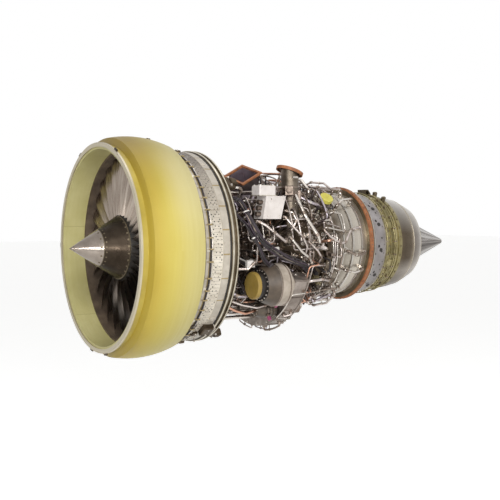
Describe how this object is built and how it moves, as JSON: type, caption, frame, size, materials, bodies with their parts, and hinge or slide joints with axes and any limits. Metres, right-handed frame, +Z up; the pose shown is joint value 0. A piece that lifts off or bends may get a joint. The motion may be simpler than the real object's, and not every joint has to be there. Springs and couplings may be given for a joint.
{
  "type": "turbofan jet engine",
  "caption": "Turbofan jet engine without nacelle: bulged fan case, conical spinner, twisted blades, bare core with accessories, exhaust nozzle and cone.",
  "frame": {"origin": "centre of the fan case's front flange face, where the intake bolts on", "axes": "+X aft along the engine's centreline, +Z up, -Y the left side that the picture shows"},
  "size_m": [3.003, 1.366, 1.366],
  "materials": {
    "liner": "perforated lining, semi-matte",
    "abradable": "matte",
    "fan_wrap": "satin varnished fibre wrap",
    "case_paint": "satin",
    "pale_case": "satin, perforated",
    "frame_metal": "satin",
    "dark_vane": "satin",
    "cast_alloy": "cast, satin",
    "bright_steel": "polished",
    "hot_steel": "heat tinted",
    "spinner_metal": "brushed",
    "spinner_dark": "satin",
    "blade_metal": "satin",
    "orange_rubber": "matte",
    "blue_grey": "satin",
    "olive_steel": "satin",
    "nozzle_steel": "polished sheet",
    "dark_unit": "satin",
    "olive_unit": "satin",
    "pale_box": "satin",
    "lilac_steel": "satin",
    "yellow_cap": "matte",
    "pipe_metal": "satin tubes"
  },
  "bodies": {
    "casing": {"acoustic_liner": "liner", "alternator": "cast_alloy", "bearing_housing": "cast_alloy", "bleed_duct": "lilac_steel", "bleed_valve": "olive_unit", "combustor_case": "hot_steel", "containment_wrap": "fan_wrap", "control_box": "pale_box", "core_brackets": "bright_steel", "core_pipes": "pipe_metal", "core_splitter": "frame_metal", "duct_seal": "orange_rubber", "exhaust_cone": "nozzle_steel", "exhaust_nozzle": "nozzle_steel", "fan_case": "case_paint", "fan_frame": "frame_metal", "fire_seal": "orange_rubber", "fire_wall": "frame_metal", "flame_tube": "hot_steel", "front_mount": "hot_steel", "fuel_control": "olive_unit", "fuel_manifold": "bright_steel", "fuel_nozzles": "bright_steel", "gearbox": "cast_alloy", "hydraulic_pump": "dark_unit", "ignition_exciter": "pale_box", "joint_clips": "bright_steel", "lower_compressor_case": "cast_alloy", "lp_turbine_case": "blue_grey", "oil_tank": "cast_alloy", "outlet_guide_vanes": "dark_vane", "port_cover": "yellow_cap", "rear_fan_case": "pale_case", "rear_mount": "hot_steel", "rub_strip": "abradable", "shaft_bearings": "bright_steel", "starter": "dark_unit", "starter_cover": "yellow_cap", "stator_actuator": "dark_unit", "transfer_gearbox": "cast_alloy", "turbine_case": "bright_steel", "turbine_frame": "olive_steel", "upper_compressor_case": "cast_alloy", "valve_clamp": "orange_rubber"},
    "fan_spool": {"spinner_nose": "spinner_metal", "spinner_cone": "spinner_dark", "fan_disk": "dark_vane", "fan_blades": "blade_metal", "fan_shaft": "bright_steel", "lp_turbine_rotor": "hot_steel"},
    "core_spool": {"core_shaft": "bright_steel", "compressor_rotor": "cast_alloy", "core_turbine_rotor": "hot_steel"},
    "radial_shaft": {"radial_shaft": "bright_steel"},
    "gearbox_shaft": {"gearbox_shaft": "bright_steel"},
    "unison_ring": {"unison_ring": "cast_alloy"},
    "actuator_rod": {"actuator_rod": "bright_steel"},
    "valve_disc": {"valve_disc": "bright_steel"},
    "oil_cap": {"oil_cap": "dark_unit"}
  },
  "joints": [
    {"name": "fan_spool_spin", "type": "hinge", "parent": "casing", "child": "fan_spool", "pos_m": [0.39, 0, 0], "axis": [1, 0, 0], "continuous": true},
    {"name": "core_spool_spin", "type": "hinge", "parent": "casing", "child": "core_spool", "pos_m": [0.67, 0, 0], "axis": [1, 0, 0], "continuous": true},
    {"name": "radial_shaft_spin", "type": "hinge", "parent": "casing", "child": "radial_shaft", "pos_m": [0.622, 0, -0.3], "axis": [0, 0, 1], "continuous": true},
    {"name": "gearbox_shaft_spin", "type": "hinge", "parent": "casing", "child": "gearbox_shaft", "pos_m": [0.9, 0, -0.48], "axis": [1, 0, 0], "continuous": true},
    {"name": "unison_ring_turn", "type": "hinge", "parent": "casing", "child": "unison_ring", "pos_m": [0.769, 0, 0], "axis": [1, 0, 0], "range_deg": [-6, 6]},
    {"name": "actuator_rod_slide", "type": "slide", "parent": "casing", "child": "actuator_rod", "axis": [0, -0.5, -0.866], "range_m": [-0.0352, 0.0352]},
    {"name": "bleed_valve_turn", "type": "hinge", "parent": "casing", "child": "valve_disc", "pos_m": [1.245, -0.25, 0.446], "axis": [0, 1, 0], "range_deg": [0, 85]},
    {"name": "oil_cap_turn", "type": "hinge", "parent": "casing", "child": "oil_cap", "pos_m": [1.045, 0.51843, 0.12926], "axis": [0, 0.9703, 0.2419], "range_deg": [0, 90]}
  ],
  "couplings": [
    {"joint": "radial_shaft_spin", "follows": "core_spool_spin", "ratio": 1},
    {"joint": "gearbox_shaft_spin", "follows": "core_spool_spin", "ratio": -1},
    {"joint": "actuator_rod_slide", "follows": "unison_ring_turn", "m_per_rad": 0.33485}
  ]
}
